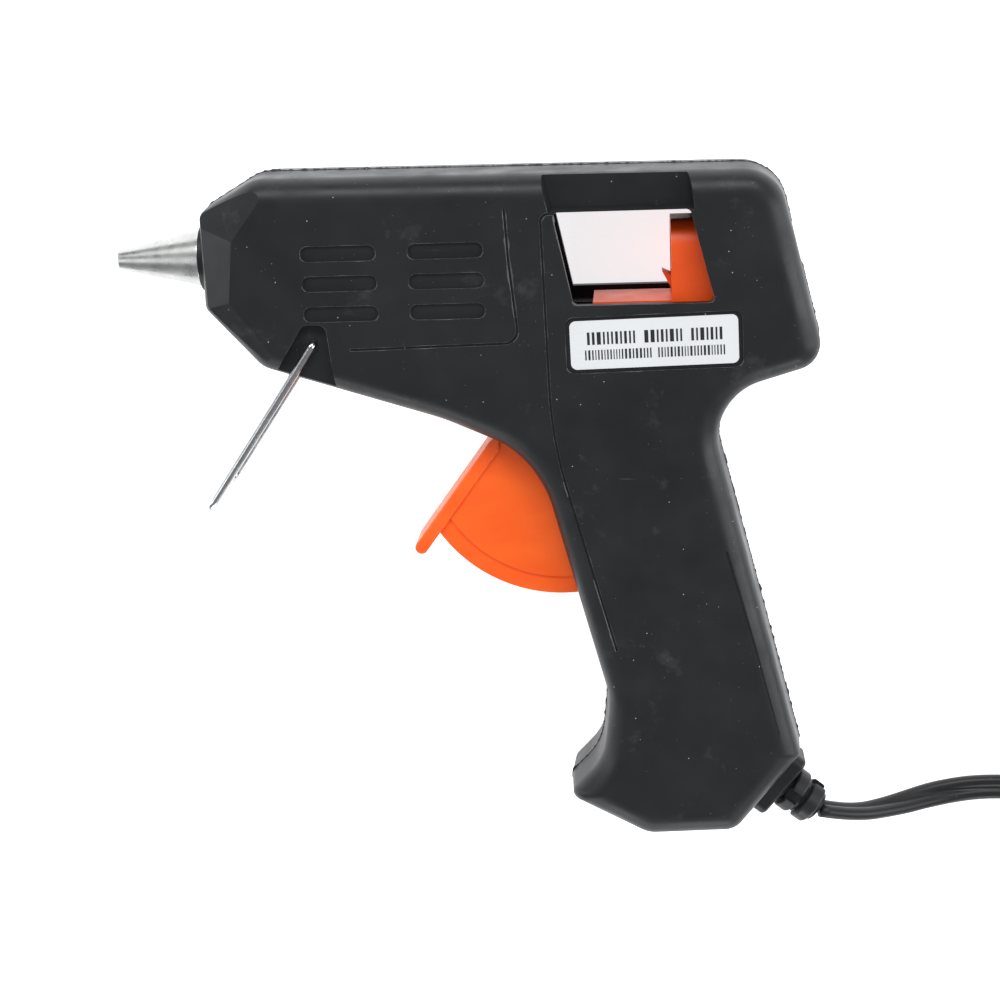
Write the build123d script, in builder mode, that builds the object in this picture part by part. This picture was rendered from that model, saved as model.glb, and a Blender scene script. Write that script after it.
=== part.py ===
"""Mini hot-melt glue gun for 7 mm sticks, lying on its right side.

Row frame: +Z is up through the two shells, -X is the way the nozzle points, +Y is the top of the
gun. Profiles are drawn in (u, v): u runs back from the nozzle's shoulder and v rises from the barrel axis.
"""
import os
from math import cos, pi, radians, sin, tan

from build123d import *

os.makedirs("parts", exist_ok=True)

# ---- driving dimensions, in millimetres ----------------------------------------------------------
half_width = 13.0          # closed body, from the parting plane to a side face
wall = 2.0                 # moulded shell wall
edge_round = 4.5           # soft edge round each side face
head_length = 115.3        # nozzle's shoulder to the rear face, on the barrel axis
nozzle_length = 16.4       # nozzle tip to its shoulder
nozzle_tip_r = 2.0
nozzle_base_r = 5.5
outlet_r = 0.8             # hole that the glue leaves by
outlet_length = 3.0
handle_length = 91.3       # head down to the heel, along the handle
nose_face = 1.5            # nose face, behind the nozzle's shoulder
draft = 3.0                # degrees, on the outside and the inside of each shell

stick_r = 3.5              # 7 mm glue stick
stick_clearance = 0.4      # radial, in the inlet and the carriage
sliding_gap = 0.15         # between a moving moulding and its guide
pin_clearance = 0.05       # radial, pin in a turning hub
piece_gap = 0.3            # between mouldings that pass each other

chamber_r = 7.0
chamber_back = 42.0
sleeve_back = 62.0
heater_size = (18.0, 9.0, 2.2)     # ceramic pill, along the barrel, across it and its thickness
electrode_t = 0.4
film_t = 0.2
clip_t = 0.6

trigger_pivot = (68.9, -39.2)
trigger_arc_r = 29.2
blade_half_width = 5.8
web_half_width = 5.2
trigger_pin_r = 1.5
arm_length = 26.5          # pivot to drive pin
arm_rest_angle = 20.0      # degrees, arm leans back from upright at rest
drive_pin_r = 0.8

carriage_front = 91.2
carriage_length = 12.8
carriage_half_width = 8.5
carriage_top = 5.5
tongue_front = 78.7
tongue_top = -9.6
tongue_t = 1.8
tongue_half_width = 7.0

stand_pivot = (22.7, -15.5)
stand_wire_r = 0.8
stand_leg = 39.6
stand_angle = 235.3        # degrees, legs as deployed
relief_depth = 2.0         # pocket beside each stand leg

screw_r = 1.25
screw_head_r = 2.6
screw_head_t = 1.6
screw_grip = 3.0           # wall under each screw head
screw_bite = 8.0           # thread in the left shell's bosses
label_size = (31.7, 9.3)
label_t = 0.2
label_recess = 0.4

cord_w = 5.2               # flat twin lead, across both cores
cord_floor = cord_w / 2    # cord axis when it lies on the surface
coil_mid_r = 28.5          # middle of the coil's turns
coil_columns = 3
coil_layers = 2
plug_pin_r = 2.0
plug_pin_length = 19.0
plug_pin_tip_r = 1.2
plug_pin_spacing = 18.6
plug_face = (35.3, 13.7)
plug_depth = 34.0
plug_tail = 14.0

# ---- body outline on the parting plane ------------------------------------------------------------
handle_lean = (0.238, -0.971)      # unit vector down the handle
handle_root = (93.3, -30.2)
heel = (handle_root[0] + handle_length * handle_lean[0], handle_root[1] + handle_length * handle_lean[1])
rear_lean = 0.245                  # how far the rear face leans back for each unit down


def rear(v):
    """Rear face of the head at height v."""
    return head_length - rear_lean * v


outline_corners = [                # (u, v, corner radius), round the body from the nose
    (nose_face, -8.7, 2.5),
    (12.1, -20.6, 6.0),
    (46.6, -31.6, 40.0),
    (60.4, -37.8, 18.0),
    (65.9, -45.6, 22.0),
    (heel[0] - 37.8, heel[1] + 29.7, 16.0),
    (heel[0] - 39.2, heel[1] + 17.0, 12.0),
    (heel[0] - 46.9, heel[1] + 9.0, 2.0),
    (heel[0] - 30.3, heel[1] + 0.1, 7.0),
    (heel[0] - 12.3, heel[1] + 0.75, 5.0),
    (heel[0] + 1.0, heel[1] + 17.3, 1.0),
    (head_length - 17.4, -28.7, 11.0),
    (rear(-22.0), -22.0, 5.6),
    (rear(15.5), 15.5, 8.5),
    (12.8, 16.4, 7.0),
    (nose_face, 9.9, 2.5),
]

with BuildSketch() as outline:
    with BuildLine():
        FilletPolyline(
            [(u, v) for u, v, _ in outline_corners], radius=[r for _, _, r in outline_corners], close=True
        )
    make_face()

body_box = outline.sketch.bounding_box()
ref_x = (nozzle_length - body_box.max.X) / 2
ref_y = -(body_box.max.Y + body_box.min.Y) / 2
mid = Plane(origin=(ref_x, ref_y, half_width))
barrel = Axis(mid.origin, (1, 0, 0))

inner_z = half_width - wall        # inside face of a side wall


def across(u):
    """Plane square to the barrel at u: local y is up the gun, and the normal points to the rear."""
    return Plane(mid.from_local_coords(Vector(u, 0, 0)), x_dir=(0, 0, -1), z_dir=(1, 0, 0))


def save(part, name):
    part.label = name
    export_step(part, f"parts/{name}.step")


def in_row(*points):
    """Points given as (u, v, height over the parting plane), in the row frame."""
    return [mid.from_local_coords(Vector(*point)) for point in points]


px, py = trigger_pivot

# ---- places that several pieces share --------------------------------------------------------------
window_corners = [(69.0, 8.4), (94.8, 8.4), (rear(-9.2) - 18.3, -9.2), (72.7, -9.2)]
window_recess_depth = 3.0
window_lead = 0.8                              # right shell's window, ahead of the left one
rail_top = tongue_top - tongue_t - sliding_gap
rail_t = 1.6
rail_inner = 5.4                   # rails stand clear of the trigger arm
slot_half_width = blade_half_width + piece_gap + 0.1
screw_places = [
    (50.0, -26.5),
    (53.5, 10.6),
    (head_length - 11.0, 10.2),
    (head_length - 3.4, -18.8),
    (88.0, -78.0),
    (heel[0] - 34.5, heel[1] + 10.0),
]
chamfer_mid = (heel[0] - 5.2, heel[1] + 9.6)
relief_out = Vector(0.778, -0.628, 0)          # square to the heel's chamfer
relief_neck_r = 3.2
relief_reach = 12.9
vent_columns = (28.6, 48.9)
vent_rows = (1.9, -3.8, -9.6)
spring_post = (97.0, -25.5)
arm_angle = radians(90 - arm_rest_angle)
arm_tip = (trigger_pivot[0] + arm_length * cos(arm_angle), trigger_pivot[1] + arm_length * sin(arm_angle))
spring_hook = (trigger_pivot[0] + 14.0 * cos(arm_angle), trigger_pivot[1] + 14.0 * sin(arm_angle))
inlet_r = stick_r + stick_clearance
inlet_length = 8.0
nozzle_hole_r = nozzle_base_r + 0.1
nose_ring_r = 6.4
nose_ring_t = 1.2
heater_top = -8.6                              # top of the heater's slot in the chamber
stack_t = heater_size[2] + 2 * electrode_t + 2 * film_t + clip_t
slot_bottom = heater_top - stack_t
heater_front = 14.0
block_half_width = 6.5
slot_half = 5.0
collar_r = chamber_r + 0.1
post_r = 2.2
clamp_mid = (99.6, -98.2)
clamp_dir = Vector(0.89, 0.456, 0)             # across the cord at the clamp
clamp_pitch = 10.4
clamp_cord_r = 2.2
clamp_screw_r = 0.9
clamp_plane = Plane(mid.from_local_coords(Vector(*clamp_mid, 0)), x_dir=clamp_dir, z_dir=(0, 0, 1))
relief_plane = Plane(mid.from_local_coords(Vector(*chamfer_mid, 0)), x_dir=(0, 0, 1), z_dir=relief_out)
label_mid = (87.7, -16.5)
label_tilt = 1.2                               # degrees
crease_depth = 0.3
crease_width = 0.45
panel_crease = [(60.2, 9.5, 0), (60.7, -0.5, 60.0), (62.2, -16.0, 2.5), (30.0, -16.6, 0)]
handle_crease = [(69.6, 8.2, 0), (66.9, 8.2, 1.5), (67.9, -35.0, 80.0), (79.4, -78.0, 0)]
rear_crease = [(101.0, -58.0, 0), (106.8, -79.0, 80.0), (111.2, -96.0, 0)]
spring_post_r = 1.3

# ---- one half of the casing, on the +Z side of the parting plane -----------------------------------
nose_creases = [(16.3, 14.6), (8.5, 4.6), (7.3, -7.0), (15.6, -18.2)]
nose_slope = 22.0                              # degrees, of the facets round the nose


def nose_cut(depth):
    """Blocks over the nose facets, whose faces lie a depth below them."""
    with BuildPart() as blocks:
        for (u0, v0), (u1, v1) in zip(nose_creases, nose_creases[1:]):
            along = Vector(u1 - u0, v1 - v0, 0)
            outward = Vector(v1 - v0, u0 - u1, 0).normalized()
            slope = radians(nose_slope)
            face = Plane(
                mid.from_local_coords(Vector((u0 + u1) / 2, (v0 + v1) / 2, half_width - depth)), x_dir=along,
                z_dir=outward * sin(slope) + Vector(0, 0, cos(slope)),
            )
            with Locations(face):
                Box(60, 60, 20, align=(Align.CENTER, Align.CENTER, Align.MIN))
    return blocks.part


with BuildPart() as cavity:                    # the space inside one half
    with BuildSketch(mid):
        add(outline.sketch)
        offset(amount=-wall)
    extrude(amount=inner_z, taper=draft)
    add(nose_cut(wall), mode=Mode.SUBTRACT)

with BuildPart() as envelope:                  # the outside of one half
    with BuildSketch(mid):
        add(outline.sketch)
    extrude(amount=half_width, taper=draft)
    fillet(envelope.faces().sort_by(Axis.Z)[-1].edges(), radius=edge_round)
    add(nose_cut(0), mode=Mode.SUBTRACT)

with BuildPart() as fittings:                  # ribs, posts and pads that stand on the side wall
    with BuildSketch(mid):                     # rims round the screw holes and the trigger's pivot
        with Locations(*screw_places):
            Circle(3.1)
    extrude(amount=inner_z)
    with BuildSketch(mid.offset(web_half_width + piece_gap)):
        with Locations(trigger_pivot):
            Circle(trigger_pin_r + 1.9)
    extrude(amount=inner_z - web_half_width - piece_gap)
    for u in (8.0, chamber_back - 2.6):        # cradles that hold the melt chamber by its sides
        with BuildSketch(mid.offset(2.0)):
            with Locations((u + 0.8, 0)):
                Rectangle(1.6, 11.0)
        extrude(amount=inner_z - 2.0)
    with BuildSketch(mid.offset(rail_inner)):  # rail under the carriage's tongue
        with Locations((62.0, rail_top)):
            Rectangle(head_length - 8.0 - 62.0, rail_t, align=(Align.MIN, Align.MAX))
    extrude(amount=inner_z - rail_inner)
    with BuildSketch(mid.offset(inner_z - window_recess_depth)):   # backing behind the window's scoop
        with BuildLine():
            Polyline((66.5, 17), (97.5, 17), (98.0, 6.2), (68.8, 6.2), close=True)
        make_face()
    extrude(amount=window_recess_depth)
    with BuildSketch(mid.offset(inner_z - relief_depth)):          # backing behind the stand's pocket
        with BuildLine():
            Polyline((20, -9.5), (27, -9.5), (29, -24), (12, -24), close=True)
        make_face()
    extrude(amount=relief_depth)
    with BuildSketch(across(head_length - inlet_length)):
        Circle(inlet_r + wall)                 # inlet collar, half in each shell
    extrude(amount=inlet_length + wall)
    with BuildSketch(mid):                     # saddle under the cord's strain relief
        with Locations(Location((chamfer_mid[0] - 6.0, chamfer_mid[1] + 4.8), -51.1)):
            Rectangle(wall, 22.0)
    extrude(amount=inner_z)

with BuildPart() as half:
    add(envelope.part)
    with BuildSketch(across(nose_face - nose_ring_t)):
        Circle(nose_ring_r)                    # raised rim round the nozzle
    extrude(amount=nose_ring_t + 0.5)
    add(cavity.part, mode=Mode.SUBTRACT)
    add(fittings.part & cavity.part)
    split(bisect_by=mid, keep=Keep.TOP)

    with BuildSketch(across(-nozzle_length)):
        Circle(nozzle_hole_r)                  # nozzle hole
    extrude(amount=nozzle_length + nose_face + wall + 1, mode=Mode.SUBTRACT)
    with BuildSketch(across(nose_face + wall + 0.2)):
        Circle(collar_r)                       # chamber seat in the cradles
    extrude(amount=chamber_back, mode=Mode.SUBTRACT)
    with BuildSketch(across(head_length - inlet_length - 1)):
        Circle(inlet_r)                        # stick inlet
    extrude(amount=inlet_length + 10, mode=Mode.SUBTRACT)

    with BuildSketch(mid):                     # see-through window
        with BuildLine():
            FilletPolyline(window_corners, radius=1.0, close=True)
        make_face()
    extrude(amount=half_width, mode=Mode.SUBTRACT)
    with BuildSketch(mid.offset(half_width - window_recess_depth)):    # scoop above the window
        with BuildLine():
            Polyline((66.2, 20), (93.9, 20), (94.9, 9.0), (68.9, 9.0), close=True)
        make_face()
    extrude(amount=window_recess_depth, taper=-12, mode=Mode.SUBTRACT)

    with BuildSketch(mid):                     # mouth for the trigger
        with BuildLine():
            Polyline(
                (px - 15.2, py + 9), (px - 15.2, py), (px - 9, py - 7), (px - 3, py - 21),
                (px - 0.5, py - 32.3), (px + 6.5, py - 32.3), (px + 5, py - 23), (px - 3, py + 3),
                (px - 8, py + 9), close=True,
            )
        make_face()
    extrude(amount=slot_half_width, mode=Mode.SUBTRACT)

    with BuildSketch(mid.offset(half_width - relief_depth)):           # pocket for the stand's leg
        with BuildLine():
            FilletPolyline(
                (21.0, -11.6), (25.4, -11.6), (27.2, -29), (10.2, -29), radius=[1.8, 1.8, 0, 0], close=True
            )
        make_face()
    extrude(amount=relief_depth, mode=Mode.SUBTRACT)
    with BuildSketch(mid):
        with Locations(stand_pivot):
            Circle(stand_wire_r + pin_clearance)
        with Locations(trigger_pivot):
            Circle(trigger_pin_r)
    extrude(amount=inner_z - 0.6, mode=Mode.SUBTRACT)
    with BuildSketch(mid):
        with Locations(stand_pivot):
            Circle(stand_wire_r + pin_clearance)
    extrude(amount=half_width, mode=Mode.SUBTRACT)

    with BuildSketch(mid.offset(half_width - 0.6)):                    # blind vent louvres
        with Locations(*[(u, v) for u in vent_columns for v in vent_rows]):
            RectangleRounded(13.8, 2.5, 1.2)
    extrude(amount=1, taper=-20, mode=Mode.SUBTRACT)

    for crease in (panel_crease, handle_crease, rear_crease):          # fine steps in the side face
        with BuildSketch(mid.offset(half_width - crease_depth)):
            with BuildLine():
                FilletPolyline(*[(u, v) for u, v, _ in crease], radius=[r for _, _, r in crease[1:-1]])
            trace(line_width=crease_width)
        extrude(amount=1, mode=Mode.SUBTRACT)

    with BuildSketch(relief_plane.offset(-12)):                        # hole for the strain relief's neck
        Circle(relief_neck_r + 0.05)
    extrude(amount=14, mode=Mode.SUBTRACT)
    with BuildSketch(relief_plane.offset(-wall - 2.6)):                # room for its inner flange
        Circle(5.0)
    extrude(amount=2.6, mode=Mode.SUBTRACT)

with BuildPart() as left_shell:
    add(half.part)
    with BuildSketch(mid):                     # pilot holes for the screws
        with Locations(*screw_places):
            Circle(screw_r)
    extrude(amount=screw_bite + 0.5, mode=Mode.SUBTRACT)
    with BuildSketch(mid.offset(half_width - label_recess)):
        with Locations(Location(label_mid, label_tilt)):
            RectangleRounded(label_size[0] + 1.6, label_size[1] + 1.4, 1.6)
    extrude(amount=label_recess, mode=Mode.SUBTRACT)
save(left_shell.part, "left_shell")

with BuildPart() as screw_columns:             # columns round the screw heads
    with BuildSketch(mid.offset(-screw_grip)):
        with Locations(*screw_places):
            Circle(screw_head_r + 1.6)
    extrude(amount=-(inner_z - screw_grip) - 0.5)

with BuildPart() as right_shell:
    add(mirror(half.part, about=mid, mode=Mode.PRIVATE))
    add(screw_columns.part & mirror(envelope.part, about=mid, mode=Mode.PRIVATE))
    with BuildSketch(mid.offset(-inner_z - 0.3)):                      # post for the return spring
        with Locations(spring_post):
            Circle(spring_post_r)
    extrude(amount=inner_z + 2.2)
    with BuildSketch(clamp_plane.offset(-inner_z - 0.3)):              # posts for the cord clamp
        with GridLocations(clamp_pitch, 0, 2, 1):
            Circle(post_r)
    extrude(amount=inner_z + 0.3 + clamp_cord_r)
    with BuildSketch(clamp_plane.offset(clamp_cord_r)):
        with GridLocations(clamp_pitch, 0, 2, 1):
            Circle(clamp_screw_r)
    extrude(amount=-6.0, mode=Mode.SUBTRACT)
    with BuildSketch(mid):                     # its window opens further forward
        with BuildLine():
            Polyline([(u - window_lead, v) for u, v in window_corners], close=True)
        make_face()
    extrude(amount=-half_width, mode=Mode.SUBTRACT)
    with BuildSketch(mid):
        with Locations(*screw_places):
            Circle(screw_r + 0.25)
    extrude(amount=-half_width, mode=Mode.SUBTRACT)
    with BuildSketch(mid.offset(-screw_grip)):
        with Locations(*screw_places):
            Circle(screw_head_r + 0.3)
    extrude(amount=-half_width, mode=Mode.SUBTRACT)
save(right_shell.part, "right_shell")

with BuildPart() as shell_screws:              # self-tapping screws, driven from the right side
    with BuildSketch(mid.offset(-screw_grip)):
        with Locations(*screw_places):
            Circle(screw_head_r)
    extrude(amount=-screw_head_t)
    with BuildSketch(mid.offset(-screw_grip)):
        with Locations(*screw_places):
            Circle(screw_r)
    extrude(amount=screw_grip + screw_bite)
    with BuildSketch(mid.offset(-screw_grip - screw_head_t)):
        with Locations(*screw_places):         # cross recess
            Rectangle(2.8, 0.6)
            Rectangle(0.6, 2.8)
    extrude(amount=1.0, mode=Mode.SUBTRACT)
save(shell_screws.part, "shell_screws")

# ---- hot end ---------------------------------------------------------------------------------------
bore_r = stick_r + 0.25
flange_front = nose_face + wall + 0.2          # nozzle's flange, behind the nose wall
chamber_nose = flange_front + 1.2              # front face of the chamber's body
spigot_r = 3.4
spigot_back = 10.5

with BuildPart() as nozzle:
    with BuildSketch(mid):
        with BuildLine():
            Polyline(
                (-nozzle_length, outlet_r), (-nozzle_length, nozzle_tip_r - 0.2),
                (-nozzle_length + 0.2, nozzle_tip_r), (0, nozzle_base_r), (flange_front, nozzle_base_r),
                (flange_front, nozzle_base_r + 1.0),
                (chamber_nose, nozzle_base_r + 1.0), (chamber_nose, spigot_r), (spigot_back, spigot_r),
                (spigot_back, 2.2), (-nozzle_length + outlet_length + 1.4, 1.4),
                (-nozzle_length + outlet_length, outlet_r), close=True,
            )
        make_face()
    revolve(axis=barrel)
save(nozzle.part, "nozzle")

with BuildPart() as melt_chamber:
    with BuildSketch(mid):
        with BuildLine():
            Polyline(
                (chamber_nose, spigot_r), (chamber_nose, chamber_r - 0.8),
                (chamber_nose + 0.8, chamber_r), (chamber_back, chamber_r),
                (chamber_back, 5.3), (chamber_back + 8, 5.3), (chamber_back + 8, bore_r),
                (16.0, bore_r), (spigot_back + 1, 2.6), (spigot_back + 1, spigot_r),
                close=True,
            )
        make_face()
    revolve(axis=barrel)
    with BuildSketch(mid.offset(-block_half_width)):
        with BuildLine():
            Polyline(
                (12.0, -4.5), (12.0, slot_bottom - 1.4),
                (heater_front + heater_size[0] + 2, slot_bottom - 1.4),
                (heater_front + heater_size[0] + 2, -4.5),
                close=True,
            )
        make_face()
    extrude(amount=2 * block_half_width)
    with BuildSketch(mid):
        with BuildLine():
            Polyline(
                (chamber_nose, 0), (spigot_back + 1, 0), (spigot_back + 1, 2.6), (16.0, bore_r),
                (chamber_back + 8, bore_r), (chamber_back + 8, 0), close=True,
            )
        make_face()
    revolve(axis=barrel, mode=Mode.SUBTRACT)
    with BuildSketch(across(0)):
        Circle(spigot_r)
    extrude(amount=spigot_back + 1, mode=Mode.SUBTRACT)
    with BuildSketch(mid.offset(-slot_half)):  # slot for the heater, open to the rear
        with BuildLine():
            Polyline(
                (heater_front - 0.5, heater_top), (heater_front - 0.5, slot_bottom), (45, slot_bottom),
                (45, heater_top), close=True,
            )
        make_face()
    extrude(amount=2 * slot_half, mode=Mode.SUBTRACT)
save(melt_chamber.part, "melt_chamber")


def heater_layer(top, thickness, across, length=heater_size[0], start=heater_front):
    """Flat block in the heater's slot, below height top."""
    with BuildPart() as layer:
        with BuildSketch(mid.offset(-across / 2)):
            with Locations((start, top)):
                Rectangle(length, thickness, align=(Align.MIN, Align.MAX))
        extrude(amount=across)
    return layer.part


upper_electrode_top = heater_top - film_t
ceramic_top = upper_electrode_top - electrode_t
lower_electrode_top = ceramic_top - heater_size[2]
tab_across = 2.0
tab_length = 3.4
tab_end = heater_front + heater_size[0] + tab_length
crimp_r = 1.2
crimp_length = 4.0
tab_offset = 2.6                               # tabs stand to either side of the middle

with BuildPart() as ptc_heater:
    add(heater_layer(ceramic_top, heater_size[2], heater_size[1]))
save(ptc_heater.part, "ptc_heater")

electrode_layers = []
for top, side in ((upper_electrode_top, 1), (lower_electrode_top, -1)):
    with BuildPart() as electrode:
        add(heater_layer(top, electrode_t, heater_size[1]))
        with BuildSketch(mid.offset(side * tab_offset - tab_across / 2)):
            with Locations((heater_front + heater_size[0], top)):
                Rectangle(tab_length, electrode_t, align=(Align.MIN, Align.MAX))
        extrude(amount=tab_across)
    electrode_layers.append(electrode.part)
with BuildPart() as heater_electrodes:
    add(electrode_layers)
save(heater_electrodes.part, "heater_electrodes")

with BuildPart() as heater_film:
    add(heater_layer(heater_top, stack_t - clip_t, heater_size[1] + 2 * film_t))
    add(heater_layer(upper_electrode_top, stack_t - clip_t - 2 * film_t, heater_size[1]), mode=Mode.SUBTRACT)
save(heater_film.part, "heater_film")

with BuildPart() as heater_clip:               # spring leaf with a turned-down lip
    add(heater_layer(slot_bottom + clip_t, clip_t, 8.0, length=heater_size[0] + 2.8))
    with BuildSketch(mid.offset(-4.0)):
        with Locations((heater_front + heater_size[0] + 2.2, slot_bottom)):
            Rectangle(clip_t, 1.8, align=(Align.MIN, Align.MAX))
    extrude(amount=8.0)
save(heater_clip.part, "heater_clip")

tab_heights = (upper_electrode_top - electrode_t / 2, lower_electrode_top - electrode_t / 2)
with BuildPart() as wire_crimps:
    for height, side in zip(tab_heights, (1, -1)):
        with BuildSketch(across(tab_end)):
            with Locations((-side * tab_offset, height)):
                Circle(crimp_r)
        extrude(amount=crimp_length)
save(wire_crimps.part, "wire_crimps")

clamp_back = chamber_back + 6.0
with BuildPart() as stick_sleeve:              # silicone funnel that grips the stick
    with BuildSketch(mid):
        with BuildLine():
            Polyline(
                (chamber_back + 1, 5.3), (chamber_back + 1, 6.8), (clamp_back + 1.5, 6.8),
                (clamp_back + 4, 5.4), (sleeve_back, 5.2), (sleeve_back, inlet_r - 0.1),
                (chamber_back + 8, inlet_r - 0.1), (chamber_back + 8, 5.3), close=True,
            )
        make_face()
    revolve(axis=barrel)
save(stick_sleeve.part, "stick_sleeve")

with BuildPart() as sleeve_band:
    with BuildSketch(mid):
        with Locations((chamber_back + 3, 6.8)):
            Rectangle(3.0, 0.5, align=(Align.MIN, Align.MIN))
    revolve(axis=barrel)
    with BuildSketch(mid.offset(-1.5)):
        with Locations((chamber_back + 3, 7.2)):
            Rectangle(3.0, 2.0, align=(Align.MIN, Align.MIN))
    extrude(amount=3.0)
save(sleeve_band.part, "sleeve_band")

# ---- trigger ---------------------------------------------------------------------------------------
blade_top = (px - 13.8, py + 2.1)
blade_low = (px - 29.8, py - 19.4)
blade_t = (2.1, -1.5)                          # step from the blade's front to its back
blade_end_r = 1.2
arc_start, arc_end = 209.5, 282.0              # degrees round the pivot
rim_step = 0.5
arm_tip_r = 1.7
rim_band = 3.6


def on_pivot(radius, degrees):
    """Point at a radius and angle round the trigger's pivot."""
    return (px + radius * cos(radians(degrees)), py + radius * sin(radians(degrees)))


def web_face(radius):
    """Sector of the trigger's web, from its hub to a radius."""
    with BuildSketch(mid) as sector:
        with BuildLine():
            l1 = ThreePointArc(
                on_pivot(radius, arc_start), on_pivot(radius, (arc_start + arc_end) / 2),
                on_pivot(radius, arc_end),
            )
            Polyline(
                l1 @ 1, (px + 3.5, py - 3.0), (px + 1.0, py + 4.6),
                (blade_top[0] + 2.0, blade_top[1] + 1.4), l1 @ 0,
            )
        make_face()
    return sector.sketch


with BuildPart() as blade:                     # finger blade
    with BuildSketch(mid):
        with BuildLine():
            FilletPolyline(
                blade_top, blade_low, (blade_low[0] + blade_t[0], blade_low[1] + blade_t[1]),
                (blade_top[0] + blade_t[0], blade_top[1] + blade_t[1]),
                (blade_top[0] + 2.4, blade_top[1] + 2.2),
                radius=[0, blade_end_r, blade_end_r, 0, 0], close=True,
            )
        make_face()
    extrude(amount=blade_half_width, both=True)
    fillet(blade.faces().filter_by(Axis.Z).edges(), radius=0.5)

with BuildPart() as trigger:
    add(web_face(trigger_arc_r))
    extrude(amount=web_half_width - rim_step, both=True)
    add(web_face(trigger_arc_r - rim_band))
    extrude(amount=web_half_width, both=True)
    add(blade.part)
    with BuildSketch(mid):                     # hub and drive arm
        with Locations(trigger_pivot):
            Circle(5.0)
        with BuildLine():
            Polyline(
                (px - 4.2, py + 1.5), (arm_tip[0] - arm_tip_r, arm_tip[1] + 0.3),
                (arm_tip[0] + arm_tip_r, arm_tip[1] - 0.5), (px + 4.6, py - 1.5), close=True,
            )
        make_face()
        with Locations(arm_tip):
            Circle(arm_tip_r)
    extrude(amount=2.5, both=True)
    with BuildSketch(mid):
        with Locations(trigger_pivot):
            Circle(5.0)
    extrude(amount=web_half_width, both=True)
    with BuildSketch(mid.offset(-web_half_width)):
        with Locations(trigger_pivot):
            Circle(trigger_pin_r + pin_clearance)
    extrude(amount=2 * web_half_width, mode=Mode.SUBTRACT)
    with BuildSketch(mid.offset(-3)):
        with Locations(arm_tip):
            Circle(drive_pin_r)
        with Locations(spring_hook):
            Circle(0.7)
    extrude(amount=6, mode=Mode.SUBTRACT)
save(trigger.part, "trigger")

with BuildPart() as trigger_pin:
    with BuildSketch(mid.offset(-inner_z + 0.6)):
        with Locations(trigger_pivot):
            Circle(trigger_pin_r)
    extrude(amount=2 * inner_z - 1.2)
save(trigger_pin.part, "trigger_pin")

with BuildPart() as drive_pin:
    with BuildSketch(mid.offset(-4.6)):
        with Locations(arm_tip):
            Circle(drive_pin_r)
    extrude(amount=9.2)
save(drive_pin.part, "drive_pin")

# ---- carriage --------------------------------------------------------------------------------------
gripper_pivot = (carriage_front + 6.5, -7.1)
gripper_half = 2.4
gripper_tip = (carriage_front - 1.7, -4.7)
gripper_pin_reach = 5.8                        # pin's hole stops short of the left side
lug_gap = 2.5 + piece_gap                      # from the middle to a drive lug
lug_t = 1.5
lug_bottom = arm_tip[1] - 2.2

with BuildPart() as carriage:
    with BuildSketch(across(carriage_front)):
        with BuildLine():
            Polyline(
                (-carriage_half_width, tongue_top - tongue_t), (-carriage_half_width, carriage_top),
                (carriage_half_width, carriage_top), (carriage_half_width, tongue_top - tongue_t), close=True,
            )
        make_face()
    extrude(amount=carriage_length)
    top_edges = carriage.edges().filter_by(Axis.X).sort_by(Axis.Y)[-2:]
    fillet(top_edges, radius=5.0)
    with BuildSketch(mid.offset(-tongue_half_width)):
        with Locations((tongue_front, tongue_top)):
            Rectangle(carriage_front - tongue_front + 1, tongue_t, align=(Align.MIN, Align.MAX))
    extrude(amount=2 * tongue_half_width)
    for side in (1, -1):                       # lugs that the drive pin works in
        with BuildSketch(mid.offset(side * lug_gap)):
            with BuildLine():
                Polyline(
                    (tongue_front - 2.5, tongue_top - tongue_t), (tongue_front - 2.5, lug_bottom),
                    (arm_tip[0] + 3.6, lug_bottom), (arm_tip[0] + 5.6, tongue_top - tongue_t), close=True,
                )
            make_face()
        extrude(amount=side * lug_t)
    with BuildSketch(mid.offset(-tongue_half_width)):
        with Locations((tongue_front - 2.5, tongue_top)):
            Rectangle(3.0, tongue_t, align=(Align.MIN, Align.MAX))
    extrude(amount=2 * tongue_half_width)
    with BuildSketch(mid.offset(-lug_gap)):    # groove that the arm's tip passes under
        with Locations((tongue_front - 2.5, tongue_top - tongue_t)):
            Rectangle(10.0, 0.9, align=(Align.MIN, Align.MIN))
    extrude(amount=2 * lug_gap, mode=Mode.SUBTRACT)
    with BuildSketch(mid.offset(-6)):          # slots for the drive pin
        with BuildLine():
            FilletPolyline(
                (arm_tip[0] - drive_pin_r - sliding_gap, tongue_top - tongue_t - 0.25),
                (arm_tip[0] + drive_pin_r + sliding_gap, tongue_top - tongue_t - 0.25),
                (arm_tip[0] + drive_pin_r + sliding_gap, lug_bottom - 1),
                (arm_tip[0] - drive_pin_r - sliding_gap, lug_bottom - 1), radius=[0.5, 0.5, 0, 0], close=True,
            )
        make_face()
    extrude(amount=12, mode=Mode.SUBTRACT)
    with BuildSketch(across(carriage_front - 1)):
        Circle(inlet_r)
    extrude(amount=carriage_length + 2, mode=Mode.SUBTRACT)
    with BuildSketch(mid.offset(-gripper_half - piece_gap)):           # slot for the gripper
        with BuildLine():
            Polyline(
                (carriage_front - 0.1, -2.0), (carriage_front - 0.1, tongue_top),
                (carriage_front + 10.2, tongue_top), (carriage_front + 10.2, -2.0), close=True,
            )
        make_face()
    extrude(amount=2 * (gripper_half + piece_gap), mode=Mode.SUBTRACT)
    with BuildSketch(mid.offset(-carriage_half_width)):
        with Locations(gripper_pivot):
            Circle(1.0)
    extrude(amount=carriage_half_width + gripper_pin_reach, mode=Mode.SUBTRACT)
save(carriage.part, "carriage")

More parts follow.
